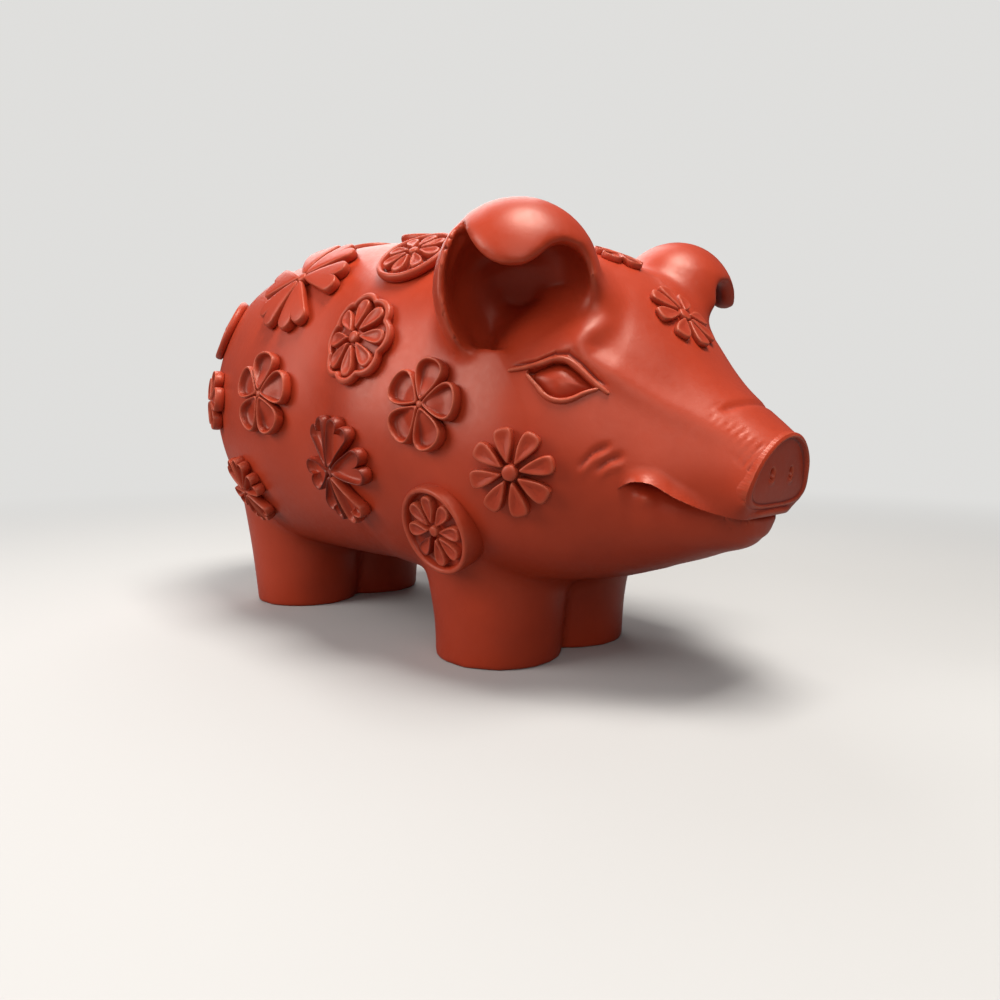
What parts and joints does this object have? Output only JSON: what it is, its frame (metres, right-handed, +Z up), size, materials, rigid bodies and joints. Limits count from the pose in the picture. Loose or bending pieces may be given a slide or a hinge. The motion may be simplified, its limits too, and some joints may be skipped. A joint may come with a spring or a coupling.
{
  "type": "pig figurine",
  "caption": "Standing pig ornament in satin cinnabar red, with hooded ears, a tapering snout and raised flower sprigs over its back and flanks.",
  "frame": {"origin": "on the surface under the soles, below the middle of the pig's box", "axes": "+X towards the nose, +Y to the pig's left, +Z up"},
  "size_m": [0.1742, 0.0818, 0.0955],
  "materials": {
    "cinnabar_skin": "satin",
    "cinnabar_sprigs": "satin",
    "cinnabar_eyes": "satin"
  },
  "bodies": {
    "root": {"back_medallion": "cinnabar_sprigs", "body": "cinnabar_skin", "cheek_daisy_left": "cinnabar_sprigs", "cheek_daisy_right": "cinnabar_sprigs", "crown_plum_blossom": "cinnabar_sprigs", "ear_left": "cinnabar_skin", "ear_right": "cinnabar_skin", "eye_left": "cinnabar_eyes", "eye_right": "cinnabar_eyes", "flank_heart_flower_left": "cinnabar_sprigs", "flank_heart_flower_right": "cinnabar_sprigs", "forehead_daisy": "cinnabar_sprigs", "haunch_heart_flower_left": "cinnabar_sprigs", "haunch_heart_flower_right": "cinnabar_sprigs", "haunch_plum_blossom_left": "cinnabar_sprigs", "haunch_plum_blossom_right": "cinnabar_sprigs", "leg_front_left": "cinnabar_skin", "leg_front_right": "cinnabar_skin", "leg_medallion_left": "cinnabar_sprigs", "leg_medallion_right": "cinnabar_sprigs", "leg_rear_left": "cinnabar_skin", "leg_rear_right": "cinnabar_skin", "loin_scalloped_medallion_left": "cinnabar_sprigs", "loin_scalloped_medallion_right": "cinnabar_sprigs", "lower_eyelid_left": "cinnabar_eyes", "lower_eyelid_right": "cinnabar_eyes", "nose_plate": "cinnabar_skin", "rump_medallion_left": "cinnabar_sprigs", "rump_medallion_right": "cinnabar_sprigs", "rump_plum_blossom_left": "cinnabar_sprigs", "rump_plum_blossom_right": "cinnabar_sprigs", "shoulder_medallion_left": "cinnabar_sprigs", "shoulder_medallion_right": "cinnabar_sprigs", "shoulder_plum_blossom_left": "cinnabar_sprigs", "shoulder_plum_blossom_right": "cinnabar_sprigs", "tail": "cinnabar_skin", "thigh_heart_flower_left": "cinnabar_sprigs", "thigh_heart_flower_right": "cinnabar_sprigs", "upper_eyelid_left": "cinnabar_eyes", "upper_eyelid_right": "cinnabar_eyes", "withers_medallion": "cinnabar_sprigs"}
  },
  "joints": []
}
